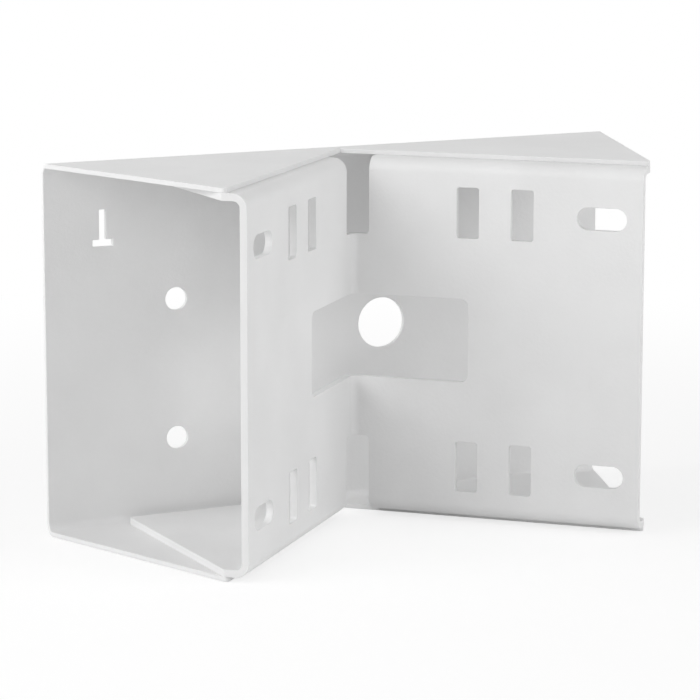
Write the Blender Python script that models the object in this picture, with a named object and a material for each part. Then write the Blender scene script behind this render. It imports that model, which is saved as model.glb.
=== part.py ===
"""Camera pole mount: a folded front channel for the camera, and a folded V-plate for the pole or corner.

Both sheets are made as a workshop makes them. Each starts as its flat pattern, a plate of even
thickness with its holes cut square through it, and is then folded along its bend lines.
Frame: +Z up, the camera side faces -Y, the V opens towards +Y, origin at the centre of the base.
"""
import bpy
import bmesh
from math import cos, pi, radians, sin, tan
from mathutils import Matrix, Vector

# Sheets and bends, in metres
CHANNEL_THICKNESS = 0.002
VEE_THICKNESS = 0.003
CHANNEL_BEND_INNER_RADIUS = 0.003
FLAP_BEND_INNER_RADIUS = 0.0025
VALLEY_BEND_INNER_RADIUS = 0.003
NEUTRAL_AXIS_SHARE = 0.44
FACETS_PER_BEND = 10
SHEET_CORNER_RADIUS = 0.0015
SEAT_GAP = 0.0003

# Front channel
CHANNEL_WIDTH = 0.2515
CHANNEL_HEIGHT = 0.150
FLANGE_SETBACK = 0.0082
FLANGE_TIP_PAST_LEG_END = 0.0008

# V-plate
VEE_ANGLE = radians(90)
VALLEY_DEPTH = 0.0215
LEG_LENGTH = 0.1207
FLAP_SHOULDER_LENGTH = 0.0104
FLAP_EDGE_FROM_CHANNEL_BEND = 0.001

# Holes in the V-plate: distances along a leg, and rows at the same height from either end
HOLE_ROW_FROM_END = 0.023
STRAP_SLOT_WIDTH = 0.0092
STRAP_SLOT_HEIGHT = 0.0205
STRAP_SLOT_FROM_VALLEY = 0.0487
STRAP_SLOT_SPACING = 0.0226
STRAP_SLOT_CORNER_RADIUS = 0.001
SCREW_SLOT_WIDTH = 0.009
SCREW_SLOT_LENGTH = 0.0202
SCREW_SLOT_FROM_LEG_END = 0.0168
WINDOW_HALF_LENGTH = 0.0491
WINDOW_HEIGHT = 0.034
WINDOW_CORNER_RADIUS = 0.003
NOTCH_HALF_WIDTH = 0.007

# Holes in the front plate
CAMERA_SCREW_HOLE_DIAMETER = 0.0093
CAMERA_SCREW_HOLE_FROM_MIDDLE = 0.0695
CAMERA_SCREW_HOLE_HEIGHT = 0.0348
CAMERA_SCREW_HOLE_SPACING = 0.0571
CABLE_HOLE_DIAMETER = 0.021
CABLE_HOLE_FROM_MIDDLE = -0.023
TEE_SLOT_FROM_MIDDLE = 0.1009
TEE_SLOT_BASE_FROM_TOP = 0.0348
TEE_SLOT_HEIGHT = 0.0148
TEE_SLOT_BAR_WIDTH = 0.0085
TEE_SLOT_STROKE = 0.0028

ROUND_HOLE_SEGMENTS = 40
CORNER_SEGMENTS = 5
PAINT_COLOUR = (0.80, 0.81, 0.81, 1.0)
PAINT_ROUGHNESS = 0.42

# Worked out from the sizes above
FOLD = (pi - VEE_ANGLE) / 2
ALONG_LEG = Vector((cos(FOLD), sin(FOLD)))
INTO_BOX = Vector((sin(FOLD), -cos(FOLD)))
VALLEY = Vector((0, VALLEY_DEPTH))
TOTAL_DEPTH = VALLEY_DEPTH + LEG_LENGTH * sin(FOLD)
HOLE_ROW_FROM_MIDDLE = CHANNEL_HEIGHT / 2 - HOLE_ROW_FROM_END


def developed_length(angle, inner_radius, thickness):
    """Length of flat sheet that a bend takes up, measured on its neutral axis."""
    return angle * (inner_radius + NEUTRAL_AXIS_SHARE * thickness)


class Bend:
    """A 90 degree fold that turns the sheet from upright to level, with its outer face outside."""

    def __init__(self, outer_height, inner_radius, thickness):
        self.outer_radius = inner_radius + thickness
        self.half_height = outer_height / 2
        self.start = self.half_height - self.outer_radius
        self.length = developed_length(pi / 2, inner_radius, thickness)
        self.end = self.start + self.length

    def fold(self, v, depth):
        """Distance in from the outer upright face, and height over the middle, of flat point v."""
        side = 1 if v >= 0 else -1
        run = abs(v)
        if run <= self.start:
            return depth, v
        if run < self.end:
            turn = (run - self.start) / self.length * pi / 2
            radius = self.outer_radius - depth
            return self.outer_radius - radius * cos(turn), side * (self.start + radius * sin(turn))
        return self.outer_radius + run - self.end, side * (self.half_height - depth)

    def flat(self, distance_in):
        """Flat coordinate of a point of the level flap, from its distance in from the outer face."""
        return self.end + distance_in - self.outer_radius

    def lines(self):
        """Flat coordinates of the bend's facet lines, on both sides of the middle."""
        steps = [self.start + self.length * i / FACETS_PER_BEND for i in range(FACETS_PER_BEND + 1)]
        return [side * step for side in (1, -1) for step in steps]


CHANNEL_BEND = Bend(CHANNEL_HEIGHT, CHANNEL_BEND_INNER_RADIUS, CHANNEL_THICKNESS)
VEE_HEIGHT = CHANNEL_HEIGHT - 2 * (CHANNEL_THICKNESS + SEAT_GAP)
FLAP_BEND = Bend(VEE_HEIGHT, FLAP_BEND_INNER_RADIUS, VEE_THICKNESS)
FLAP_FAR_EDGE_DEPTH = CHANNEL_BEND.outer_radius + FLAP_EDGE_FROM_CHANNEL_BEND
VALLEY_TANGENT = VALLEY_BEND_INNER_RADIUS * tan(FOLD)
VALLEY_HALF_LENGTH = developed_length(2 * FOLD, VALLEY_BEND_INNER_RADIUS, VEE_THICKNESS) / 2


def leg_flat(from_valley):
    """Flat coordinate of a point of a leg, from its distance along the leg's outer face."""
    return from_valley - VALLEY_TANGENT + VALLEY_HALF_LENGTH


def valley_fold(u, distance_in):
    """Plan position of flat point u of the V-plate, a distance in from its outer face."""
    side = 1 if u >= 0 else -1
    run = abs(u)
    if run < VALLEY_HALF_LENGTH:
        turn = run / VALLEY_HALF_LENGTH * FOLD
        radius = VALLEY_BEND_INNER_RADIUS + distance_in
        centre = VALLEY_DEPTH + VALLEY_BEND_INNER_RADIUS / cos(FOLD)
        return Vector((side * radius * sin(turn), centre - radius * cos(turn)))
    plan = VALLEY + ALONG_LEG * (run - VALLEY_HALF_LENGTH + VALLEY_TANGENT) + INTO_BOX * distance_in
    return Vector((side * plan.x, plan.y))


def remove_scene_objects():
    for thing in list(bpy.data.objects):
        bpy.data.objects.remove(thing, do_unlink=True)


def new_collection(name):
    collection = bpy.data.collections.new(name)
    bpy.context.scene.collection.children.link(collection)
    return collection


def paint(name):
    """White powder coat."""
    material = bpy.data.materials.new(name)
    material.use_nodes = True
    shader = material.node_tree.nodes["Principled BSDF"]
    shader.inputs["Base Color"].default_value = PAINT_COLOUR
    shader.inputs["Roughness"].default_value = PAINT_ROUGHNESS
    shader.inputs["Metallic"].default_value = 0.0
    return material


def circle(centre_u, centre_v, diameter):
    points = []
    for i in range(ROUND_HOLE_SEGMENTS):
        angle = 2 * pi * i / ROUND_HOLE_SEGMENTS
        points.append((centre_u + diameter / 2 * cos(angle), centre_v + diameter / 2 * sin(angle)))
    return points


def rounded_rectangle(centre_u, centre_v, width, height, radius, segments=CORNER_SEGMENTS):
    points = []
    for quarter, (side_u, side_v) in enumerate(((1, 1), (-1, 1), (-1, -1), (1, -1))):
        corner_u = centre_u + side_u * (width / 2 - radius)
        corner_v = centre_v + side_v * (height / 2 - radius)
        for i in range(segments + 1):
            angle = (quarter + i / segments) * pi / 2
            points.append((corner_u + radius * cos(angle), corner_v + radius * sin(angle)))
    return points


def obround(centre_u, centre_v, length, width):
    """A slot with round ends that runs along u."""
    points = []
    for end in (1, -1):
        for i in range(ROUND_HOLE_SEGMENTS // 2 + 1):
            angle = pi * i / (ROUND_HOLE_SEGMENTS // 2) - pi / 2
            points.append((centre_u + end * (length / 2 - width / 2 + width / 2 * cos(angle)),
                           centre_v + end * width / 2 * sin(angle)))
    return points


def tee(centre_u, base_v):
    """An upside-down T: a bar along the bottom with a stem that rises from its middle."""
    bar = TEE_SLOT_BAR_WIDTH / 2
    stem = TEE_SLOT_STROKE / 2
    shoulder = base_v + TEE_SLOT_STROKE
    top = base_v + TEE_SLOT_HEIGHT
    half = [(bar, base_v), (bar, shoulder), (stem, shoulder), (stem, top)]
    return mirrored(half, centre_u)


def rounded_corners(path, radius):
    """The points of a path with every inner corner turned into an arc, and without the path's two ends."""
    points = []
    stations = [Vector(station) for station in path]
    for before, corner, after in zip(stations, stations[1:], stations[2:]):
        to_before = (before - corner).normalized()
        to_after = (after - corner).normalized()
        half_angle = to_before.angle(to_after) / 2
        centre = corner + (to_before + to_after).normalized() * radius / sin(half_angle)
        arm = corner + to_before * radius / tan(half_angle) - centre
        sweep = pi - 2 * half_angle
        if to_before.cross(to_after) > 0:
            sweep = -sweep
        for i in range(CORNER_SEGMENTS + 1):
            points.append(tuple(centre + Matrix.Rotation(sweep * i / CORNER_SEGMENTS, 2) @ arm))
    return points


def mirrored(half, centre_u=0.0):
    """A closed outline from its right half, listed from bottom to top."""
    right = [(centre_u + u, v) for u, v in half]
    left = [(centre_u - u, v) for u, v in reversed(half) if u > 0]
    return right + left


def four_fold(quarter):
    """A closed outline from its quarter at +u, +v, listed from the u axis to the v axis."""
    upper = quarter + [(-u, v) for u, v in reversed(quarter) if u > 0]
    return upper + [(u, -v) for u, v in reversed(upper)]


def flat_plate(name, outlines, thickness):
    """The flat pattern as a closed plate, one outer outline and its holes, with its outer face at depth 0."""
    curve = bpy.data.curves.new(name + "_pattern", "CURVE")
    curve.dimensions = "2D"
    curve.fill_mode = "BOTH"
    curve.extrude = thickness / 2
    for outline in outlines:
        spline = curve.splines.new("POLY")
        spline.points.add(len(outline) - 1)
        for point, (u, v) in zip(spline.points, outline):
            point.co = (u, v, 0, 1)
        spline.use_cyclic_u = True
    pattern = bpy.data.objects.new(name + "_pattern", curve)
    bpy.context.scene.collection.objects.link(pattern)
    evaluated = pattern.evaluated_get(bpy.context.evaluated_depsgraph_get())
    mesh = bpy.data.meshes.new_from_object(evaluated)
    mesh.name = name
    mesh.transform(Matrix.Translation((0, 0, thickness / 2)))
    bpy.data.objects.remove(pattern, do_unlink=True)
    return mesh


def crease(sheet, axis, positions):
    """Cuts edges across the flat pattern, where u (axis 0) or v (axis 1) has each of the positions."""
    normal = Vector((1, 0, 0)) if axis == 0 else Vector((0, 1, 0))
    for position in positions:
        everything = sheet.verts[:] + sheet.edges[:] + sheet.faces[:]
        bmesh.ops.bisect_plane(sheet, geom=everything, dist=1e-7, plane_co=normal * position, plane_no=normal)


def folded_sheet(name, outlines, thickness, creases, place, material):
    """Folds a flat pattern: place gives the position of each flat point (u, v) at a depth in the sheet."""
    mesh = flat_plate(name, outlines, thickness)
    sheet = bmesh.new()
    sheet.from_mesh(mesh)
    bmesh.ops.remove_doubles(sheet, verts=sheet.verts, dist=1e-6)
    for axis, positions in creases:
        crease(sheet, axis, positions)
    for vertex in sheet.verts:
        vertex.co = place(*vertex.co)
    sheet.normal_update()
    bmesh.ops.recalc_face_normals(sheet, faces=sheet.faces)
    sheet.to_mesh(mesh)
    sheet.free()
    mesh.materials.clear()
    mesh.materials.append(material)
    mesh.shade_smooth()
    mesh.set_sharp_from_angle(angle=radians(30))
    thing = bpy.data.objects.new(name, mesh)
    thing.location = (0, -TOTAL_DEPTH / 2, CHANNEL_HEIGHT / 2)
    return thing


def channel_position(u, v, depth):
    distance_in, height = CHANNEL_BEND.fold(v, depth)
    return Vector((u, distance_in, height))


def vee_position(u, v, depth):
    distance_in, height = FLAP_BEND.fold(v, depth)
    plan = valley_fold(u, distance_in)
    return Vector((plan.x, plan.y, height))


def channel_outline():
    """The front plate with both flanges laid flat. Each flange tapers from its bend to two tips on the legs."""
    valley_edge = VALLEY_DEPTH - FLANGE_SETBACK / cos(FOLD)
    tip = VALLEY + ALONG_LEG * (LEG_LENGTH + FLANGE_TIP_PAST_LEG_END) + INTO_BOX * FLANGE_SETBACK
    edge_on_middle = (0, CHANNEL_BEND.flat(valley_edge))
    path = [
        (CHANNEL_WIDTH / 2, 0),
        (CHANNEL_WIDTH / 2, CHANNEL_BEND.end),
        (tip.x, CHANNEL_BEND.flat(tip.y)),
        edge_on_middle,
    ]
    return four_fold(rounded_corners(path, SHEET_CORNER_RADIUS) + [edge_on_middle])


def front_channel(material):
    middle = CHANNEL_HEIGHT / 2
    outlines = [channel_outline()]
    outlines.append(circle(CABLE_HOLE_FROM_MIDDLE, 0, CABLE_HOLE_DIAMETER))
    for side in (1, -1):
        outlines.append(tee(side * TEE_SLOT_FROM_MIDDLE, middle - TEE_SLOT_BASE_FROM_TOP))
        for row in range(2):
            height = CAMERA_SCREW_HOLE_HEIGHT + row * CAMERA_SCREW_HOLE_SPACING - middle
            outlines.append(circle(side * CAMERA_SCREW_HOLE_FROM_MIDDLE, height, CAMERA_SCREW_HOLE_DIAMETER))
    creases = [(1, CHANNEL_BEND.lines())]
    return folded_sheet("front_channel", outlines, CHANNEL_THICKNESS, creases, channel_position, material)


def flap_point(x, y):
    """Flat coordinates of a point of a flap, from its plan position on the +X side."""
    offset = Vector((x, y)) - VALLEY
    return leg_flat(offset.dot(ALONG_LEG)), FLAP_BEND.flat(offset.dot(INTO_BOX))


def vee_outline():
    """Both legs with their four flaps laid flat. A notch at each end of the valley lets the bends pass."""
    notch_edge = leg_flat(NOTCH_HALF_WIDTH)
    notch_floor = HOLE_ROW_FROM_MIDDLE - STRAP_SLOT_HEIGHT / 2
    notch_edge_depth = (VALLEY_DEPTH + NOTCH_HALF_WIDTH * ALONG_LEG.y - FLAP_FAR_EDGE_DEPTH) / -INTO_BOX.y
    flap_half_width = (ALONG_LEG * LEG_LENGTH + INTO_BOX * FLAP_SHOULDER_LENGTH).x
    path = [
        (leg_flat(LEG_LENGTH), 0),
        (leg_flat(LEG_LENGTH), FLAP_BEND.flat(FLAP_SHOULDER_LENGTH)),
        flap_point(flap_half_width, FLAP_FAR_EDGE_DEPTH),
        (notch_edge, FLAP_BEND.flat(notch_edge_depth)),
        (notch_edge, notch_floor),
        (0, notch_floor),
    ]
    return four_fold(rounded_corners(path, SHEET_CORNER_RADIUS))


def leg_holes(side, height):
    """The two strap slots and the screw slot of one row on one leg."""
    holes = []
    for i in range(2):
        centre = side * leg_flat(STRAP_SLOT_FROM_VALLEY + i * STRAP_SLOT_SPACING)
        holes.append(rounded_rectangle(centre, height, STRAP_SLOT_WIDTH, STRAP_SLOT_HEIGHT,
                                       STRAP_SLOT_CORNER_RADIUS))
    centre = side * leg_flat(LEG_LENGTH - SCREW_SLOT_FROM_LEG_END)
    holes.append(obround(centre, height, SCREW_SLOT_LENGTH, SCREW_SLOT_WIDTH))
    return holes


def rear_vee(material):
    window_length = 2 * leg_flat(WINDOW_HALF_LENGTH)
    outlines = [vee_outline()]
    outlines.append(rounded_rectangle(0, 0, window_length, WINDOW_HEIGHT, WINDOW_CORNER_RADIUS))
    for side in (1, -1):
        for row in (1, -1):
            outlines += leg_holes(side, row * HOLE_ROW_FROM_MIDDLE)
    valley_lines = [VALLEY_HALF_LENGTH * (2 * i / FACETS_PER_BEND - 1) for i in range(FACETS_PER_BEND + 1)]
    creases = [(0, valley_lines), (1, FLAP_BEND.lines())]
    return folded_sheet("rear_vee", outlines, VEE_THICKNESS, creases, vee_position, material)


def build():
    remove_scene_objects()
    collection = new_collection("camera_pole_mount")
    material = paint("white_powder_coat")
    collection.objects.link(front_channel(material))
    collection.objects.link(rear_vee(material))


build()
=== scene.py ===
"""Camera pole mount: two folded steel sheets in white powder coat, on a plain white floor."""
from math import cos, radians, sin

import bmesh
import bpy
from mathutils import Matrix, Vector


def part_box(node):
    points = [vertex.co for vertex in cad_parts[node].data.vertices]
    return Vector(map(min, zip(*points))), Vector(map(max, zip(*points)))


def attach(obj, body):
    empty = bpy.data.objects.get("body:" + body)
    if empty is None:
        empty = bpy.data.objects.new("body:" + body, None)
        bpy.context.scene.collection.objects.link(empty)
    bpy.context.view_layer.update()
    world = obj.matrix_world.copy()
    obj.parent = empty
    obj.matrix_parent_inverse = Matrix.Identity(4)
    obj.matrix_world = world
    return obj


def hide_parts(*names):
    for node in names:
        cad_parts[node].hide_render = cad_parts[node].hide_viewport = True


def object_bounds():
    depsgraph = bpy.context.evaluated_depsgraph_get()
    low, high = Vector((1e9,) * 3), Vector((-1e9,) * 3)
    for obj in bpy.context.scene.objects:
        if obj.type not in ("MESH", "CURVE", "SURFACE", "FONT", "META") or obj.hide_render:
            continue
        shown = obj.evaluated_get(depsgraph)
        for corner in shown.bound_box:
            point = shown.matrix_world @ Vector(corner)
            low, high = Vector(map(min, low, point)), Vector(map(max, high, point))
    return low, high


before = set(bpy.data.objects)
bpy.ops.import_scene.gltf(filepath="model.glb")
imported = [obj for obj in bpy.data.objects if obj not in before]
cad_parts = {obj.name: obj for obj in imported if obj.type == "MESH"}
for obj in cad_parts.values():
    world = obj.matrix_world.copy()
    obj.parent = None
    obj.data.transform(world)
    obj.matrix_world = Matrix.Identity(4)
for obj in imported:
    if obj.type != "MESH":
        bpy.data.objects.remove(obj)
cad_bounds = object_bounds()
object_middle = (Vector(cad_bounds[0]) + Vector(cad_bounds[1])) / 2

# Sheets, in metres. The rows are heights over the floor through the middles of the holes.
CUT_EDGE_RADIUS = 0.00035
CUT_EDGE_SEGMENTS = 3
SAME_POINT = 1e-6
SAME_CORNER = 0.00012
FLAT_ANGLE = radians(0.5)
CUT_ANGLE = radians(40)
CREASE_ANGLE = radians(25)
CHANNEL_HOLE_ROWS = (0.0348, 0.075, 0.0919, 0.1225)
VEE_HOLE_ROWS = (0.023, 0.075, 0.127)
CABLE_HOLE_MIDDLE = Vector((-0.023, 0.075))
CABLE_HOLE_RADIUS = 0.0105
ON_RIM = 0.00002
FLAP_BEND_HEIGHT = 0.0075
FLAP_LIFT = 0.0004

# Powder coat: colours, and sizes in metres
PAINT_DARKER = (0.815, 0.815, 0.815, 1.0)
PAINT_LIGHTER = (0.845, 0.845, 0.845, 1.0)
TONE_PATCH_SIZE = 0.035
TONE_DARKER_UP_TO = 0.35
TONE_LIGHTER_FROM = 0.65
PAINT_GLOSS_LEVEL = 0.4
SMOOTHEST = 0.42
ROUGHEST = 0.50
GLOSS_PATCH_SIZE = 0.012
PEEL_SIZE = 0.0013
PEEL_HEIGHT = 0.0001
GRAIN_SIZE = 0.0004
GRAIN_SHARE = 0.2
NOISE_DETAIL = 2.0

# Camera: the photograph's place, lens and framing
CAMERA_AZIMUTH = radians(26.179)
CAMERA_ELEVATION = radians(10.584)
CAMERA_ROLL = radians(0.034)
CAMERA_DISTANCE = 1.256276
CAMERA_TARGET = Vector((0.015091, -0.003424, 0.074453))
SENSOR_WIDTH = 36.0
LENS = 162.38

# Studio light: each soft box's azimuth, elevation and power in watts. Azimuth 0 is at +Y, in front of the
# V, and turns towards +X, which is on the left of the picture.
SOFT_BOXES = {
    "left": (radians(82), radians(32), 7.2),
    "left_behind": (radians(108), radians(8), 1.7),
    "left_behind_high": (radians(105), radians(30), 3.1),
    "left_front": (radians(60), radians(12), 3.5),
    "front": (radians(-10), radians(12), 1.2),
    "right_low": (radians(-45), radians(12), 3.4),
    "right": (radians(-45), radians(32), 5.5),
    "front_plate": (radians(165), radians(8), 5.0),
}
SOFT_BOX_DISTANCE = 1.6
SOFT_BOX_SIZE = 1.0
FILL_LIGHT = 0.36
WHITE = (1.0, 1.0, 1.0, 1.0)

# Floor: its colour as it lights the object, and how it looks near the object and further out, in metres
FLOOR_SIZE = 6.0
FLOOR_GAP = 0.0002
FLOOR_COLOUR = (0.9, 0.9, 0.9, 1.0)
FLOOR_SHADOWED = (0.35, 0.35, 0.35, 1.0)
FLOOR_GLOW = 0.70
SHADOW_FADE_START = 0.22
SHADOW_FADE_END = 0.60


def seen_directly(nodes, links):
    """1 for the camera's rays and for those in gloss or glass, which all see the white studio."""
    path = nodes.new("ShaderNodeLightPath")
    camera_or_gloss = nodes.new("ShaderNodeMath")
    camera_or_gloss.operation = "MAXIMUM"
    links.new(path.outputs["Is Camera Ray"], camera_or_gloss.inputs[0])
    links.new(path.outputs["Is Glossy Ray"], camera_or_gloss.inputs[1])
    or_glass = nodes.new("ShaderNodeMath")
    or_glass.operation = "MAXIMUM"
    links.new(camera_or_gloss.outputs[0], or_glass.inputs[0])
    links.new(path.outputs["Is Transmission Ray"], or_glass.inputs[1])
    return or_glass.outputs[0]


def white_world():
    """Plain white where it is seen, and the studio's even fill light for the rest."""
    world = bpy.data.worlds.new("studio")
    world.use_nodes = True
    bpy.context.scene.world = world
    nodes = world.node_tree.nodes
    links = world.node_tree.links
    nodes.clear()
    output = nodes.new("ShaderNodeOutputWorld")
    seen = nodes.new("ShaderNodeBackground")
    seen.inputs["Color"].default_value = WHITE
    seen.inputs["Strength"].default_value = 1.0
    fill = nodes.new("ShaderNodeBackground")
    fill.inputs["Color"].default_value = WHITE
    fill.inputs["Strength"].default_value = FILL_LIGHT
    mix = nodes.new("ShaderNodeMixShader")
    links.new(seen_directly(nodes, links), mix.inputs["Fac"])
    links.new(fill.outputs[0], mix.inputs[1])
    links.new(seen.outputs[0], mix.inputs[2])
    links.new(mix.outputs[0], output.inputs["Surface"])


def noise(nodes, links, place, size):
    """Soft random patches of about the given size, from 0 to 1, fixed to the object."""
    texture = nodes.new("ShaderNodeTexNoise")
    texture.inputs["Scale"].default_value = 1 / size
    texture.inputs["Detail"].default_value = NOISE_DETAIL
    links.new(place.outputs["Object"], texture.inputs["Vector"])
    return texture.outputs["Fac"]


def powder_coat():
    """White satin powder coat: a fine orange peel, with slight changes of tone and gloss."""
    material = bpy.data.materials.new("white_powder_coat")
    material.use_nodes = True
    nodes = material.node_tree.nodes
    links = material.node_tree.links
    shader = nodes["Principled BSDF"]
    shader.inputs["Specular IOR Level"].default_value = PAINT_GLOSS_LEVEL
    place = nodes.new("ShaderNodeTexCoord")

    tone = nodes.new("ShaderNodeValToRGB")
    darker, lighter = tone.color_ramp.elements
    darker.position = TONE_DARKER_UP_TO
    darker.color = PAINT_DARKER
    lighter.position = TONE_LIGHTER_FROM
    lighter.color = PAINT_LIGHTER
    links.new(noise(nodes, links, place, TONE_PATCH_SIZE), tone.inputs["Fac"])
    links.new(tone.outputs["Color"], shader.inputs["Base Color"])

    roughness = nodes.new("ShaderNodeMapRange")
    roughness.inputs["To Min"].default_value = SMOOTHEST
    roughness.inputs["To Max"].default_value = ROUGHEST
    links.new(noise(nodes, links, place, GLOSS_PATCH_SIZE), roughness.inputs["Value"])
    links.new(roughness.outputs["Result"], shader.inputs["Roughness"])

    peel_and_grain = nodes.new("ShaderNodeMath")
    peel_and_grain.operation = "MULTIPLY_ADD"
    peel_and_grain.inputs[1].default_value = GRAIN_SHARE
    links.new(noise(nodes, links, place, GRAIN_SIZE), peel_and_grain.inputs[0])
    links.new(noise(nodes, links, place, PEEL_SIZE), peel_and_grain.inputs[2])
    bump = nodes.new("ShaderNodeBump")
    bump.inputs["Strength"].default_value = 1.0
    bump.inputs["Distance"].default_value = PEEL_HEIGHT
    links.new(peel_and_grain.outputs[0], bump.inputs["Height"])
    links.new(bump.outputs["Normal"], shader.inputs["Normal"])
    return material


def split_between_holes(sheet, heights):
    """Splits the large faces through each row of holes, so that every face has one plain outline."""
    for height in heights:
        everything = sheet.verts[:] + sheet.edges[:] + sheet.faces[:]
        cut = bmesh.ops.bisect_plane(sheet, geom=everything, dist=SAME_POINT, plane_co=(0, 0, height),
                                     plane_no=(0, 0, 1))
        for part in cut["geom_cut"]:
            if isinstance(part, bmesh.types.BMEdge):
                part.seam = True
    bmesh.ops.remove_doubles(sheet, verts=sheet.verts, dist=SAME_CORNER)
    bmesh.ops.dissolve_limit(sheet, angle_limit=FLAT_ANGLE, verts=sheet.verts, edges=sheet.edges,
                             delimit={"SEAM"})


def round_cable_hole(sheet):
    """Gives the cable hole, which is the widest, twice as many facets."""
    rims = []
    for edge in sheet.edges:
        from_rim = [(vertex.co.xz - CABLE_HOLE_MIDDLE).length - CABLE_HOLE_RADIUS for vertex in edge.verts]
        between_face_and_wall = {abs(face.normal.y) > 0.5 for face in edge.link_faces} == {True, False}
        if between_face_and_wall and max(map(abs, from_rim)) < ON_RIM:
            rims.append(edge)
    added = []
    for edge in rims:
        vertex = bmesh.utils.edge_split(edge, edge.verts[0], 0.5)[1]
        spoke = (vertex.co.xz - CABLE_HOLE_MIDDLE).normalized() * CABLE_HOLE_RADIUS
        vertex.co.x, vertex.co.z = CABLE_HOLE_MIDDLE + spoke
        added.append(vertex)
    for face in sheet.faces[:]:
        across = [vertex for vertex in face.verts if vertex in added]
        if len(across) == 2:
            bmesh.utils.face_split(face, *across)


def seat_flaps(sheet):
    """Lifts the V's flaps and their bends onto the flanges, where the coat closes the seam."""
    low, high = [corner[2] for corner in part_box("rear_vee")]
    for vertex in sheet.verts:
        if vertex.co.z > high - FLAP_BEND_HEIGHT:
            vertex.co.z += FLAP_LIFT
        if vertex.co.z < low + FLAP_BEND_HEIGHT:
            vertex.co.z -= FLAP_LIFT


def coated_sheet(node_name, material, hole_rows, refine):
    """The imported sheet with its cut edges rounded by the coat, in place of the plain solid."""
    sheet = bmesh.new()
    sheet.from_mesh(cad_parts[node_name].data)
    bmesh.ops.remove_doubles(sheet, verts=sheet.verts, dist=SAME_POINT)
    split_between_holes(sheet, hole_rows)
    refine(sheet)
    cut_edges = [edge for edge in sheet.edges if edge.calc_face_angle(0) > CUT_ANGLE]
    bmesh.ops.bevel(sheet, geom=cut_edges, offset=CUT_EDGE_RADIUS, offset_type="OFFSET", affect="EDGES",
                    segments=CUT_EDGE_SEGMENTS, profile=0.5, clamp_overlap=False, loop_slide=True)
    mesh = bpy.data.meshes.new(node_name + "_coated")
    sheet.to_mesh(mesh)
    sheet.free()
    mesh.materials.append(material)
    mesh.shade_smooth()
    mesh.set_sharp_from_angle(angle=CREASE_ANGLE)
    coated = bpy.data.objects.new(node_name + "_coated", mesh)
    bpy.context.scene.collection.objects.link(coated)
    weights = coated.modifiers.new("even_normals", "WEIGHTED_NORMAL")
    weights.keep_sharp = True
    weights.weight = 100
    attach(coated, "root")
    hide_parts(node_name)


def soft_box(name, azimuth, elevation, watts):
    """A square lamp that faces the middle of the object."""
    direction = Vector((sin(azimuth) * cos(elevation), cos(azimuth) * cos(elevation), sin(elevation)))
    data = bpy.data.lights.new(name, "AREA")
    data.shape = "SQUARE"
    data.size = SOFT_BOX_SIZE
    data.energy = watts
    lamp = bpy.data.objects.new(name, data)
    lamp.location = object_middle + direction * SOFT_BOX_DISTANCE
    lamp.rotation_mode = "QUATERNION"
    lamp.rotation_quaternion = direction.to_track_quat("Z", "Y")
    bpy.context.scene.collection.objects.link(lamp)


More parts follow.
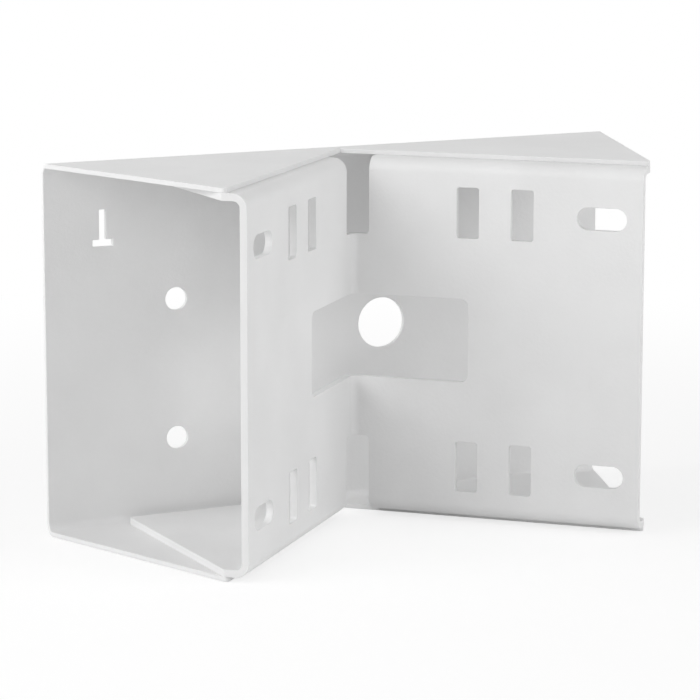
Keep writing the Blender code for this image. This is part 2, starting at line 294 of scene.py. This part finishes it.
def floor_material():
    """Lights the object as a pale floor. Seen, it is white with the object's shadow, which fades out."""
    material = bpy.data.materials.new("white_floor")
    material.use_nodes = True
    nodes = material.node_tree.nodes
    links = material.node_tree.links
    nodes.clear()
    output = nodes.new("ShaderNodeOutputMaterial")
    lit = nodes.new("ShaderNodeBsdfDiffuse")
    lit.inputs["Color"].default_value = FLOOR_COLOUR
    shadowed = nodes.new("ShaderNodeBsdfDiffuse")
    shadowed.inputs["Color"].default_value = FLOOR_SHADOWED
    glow = nodes.new("ShaderNodeEmission")
    glow.inputs["Color"].default_value = WHITE
    glow.inputs["Strength"].default_value = FLOOR_GLOW
    near = nodes.new("ShaderNodeAddShader")
    links.new(shadowed.outputs[0], near.inputs[0])
    links.new(glow.outputs[0], near.inputs[1])
    far = nodes.new("ShaderNodeEmission")
    far.inputs["Color"].default_value = WHITE
    far.inputs["Strength"].default_value = 1.0
    place = nodes.new("ShaderNodeTexCoord")
    from_middle = nodes.new("ShaderNodeVectorMath")
    from_middle.operation = "LENGTH"
    links.new(place.outputs["Object"], from_middle.inputs[0])
    fade = nodes.new("ShaderNodeMapRange")
    fade.interpolation_type = "SMOOTHSTEP"
    fade.inputs["From Min"].default_value = SHADOW_FADE_START
    fade.inputs["From Max"].default_value = SHADOW_FADE_END
    links.new(from_middle.outputs["Value"], fade.inputs["Value"])
    near_to_far = nodes.new("ShaderNodeMixShader")
    links.new(fade.outputs["Result"], near_to_far.inputs["Fac"])
    links.new(near.outputs[0], near_to_far.inputs[1])
    links.new(far.outputs[0], near_to_far.inputs[2])
    mix = nodes.new("ShaderNodeMixShader")
    links.new(seen_directly(nodes, links), mix.inputs["Fac"])
    links.new(lit.outputs[0], mix.inputs[1])
    links.new(near_to_far.outputs[0], mix.inputs[2])
    links.new(mix.outputs[0], output.inputs["Surface"])
    return material


def white_floor():
    """A level floor, just under the object."""
    bpy.ops.mesh.primitive_plane_add(size=FLOOR_SIZE, location=(0, 0, cad_bounds[0][2] - FLOOR_GAP))
    floor = bpy.context.object
    floor.name = "floor"
    floor.data.materials.append(floor_material())


def photo_camera():
    """The camera that sees the object as the photograph does."""
    azimuth = CAMERA_AZIMUTH
    elevation = CAMERA_ELEVATION
    forward = -Vector((sin(azimuth) * cos(elevation), cos(azimuth) * cos(elevation), sin(elevation)))
    right = forward.cross(Vector((0, 0, 1))).normalized()
    up = right.cross(forward)
    rolled_right = right * cos(CAMERA_ROLL) + up * sin(CAMERA_ROLL)
    rolled_up = up * cos(CAMERA_ROLL) - right * sin(CAMERA_ROLL)
    data = bpy.data.cameras.new("camera")
    data.sensor_width = SENSOR_WIDTH
    data.lens = LENS
    camera = bpy.data.objects.new("camera", data)
    place = Matrix((rolled_right, rolled_up, -forward)).transposed().to_4x4()
    place.translation = CAMERA_TARGET - forward * CAMERA_DISTANCE
    camera.matrix_world = place
    bpy.context.scene.collection.objects.link(camera)
    bpy.context.scene.camera = camera


bpy.context.scene.view_settings.view_transform = "Standard"
paint = powder_coat()
coated_sheet("front_channel", paint, CHANNEL_HOLE_ROWS, round_cable_hole)
coated_sheet("rear_vee", paint, VEE_HOLE_ROWS, seat_flaps)
white_world()
white_floor()
for box_name, box in SOFT_BOXES.items():
    soft_box(box_name, *box)
photo_camera()
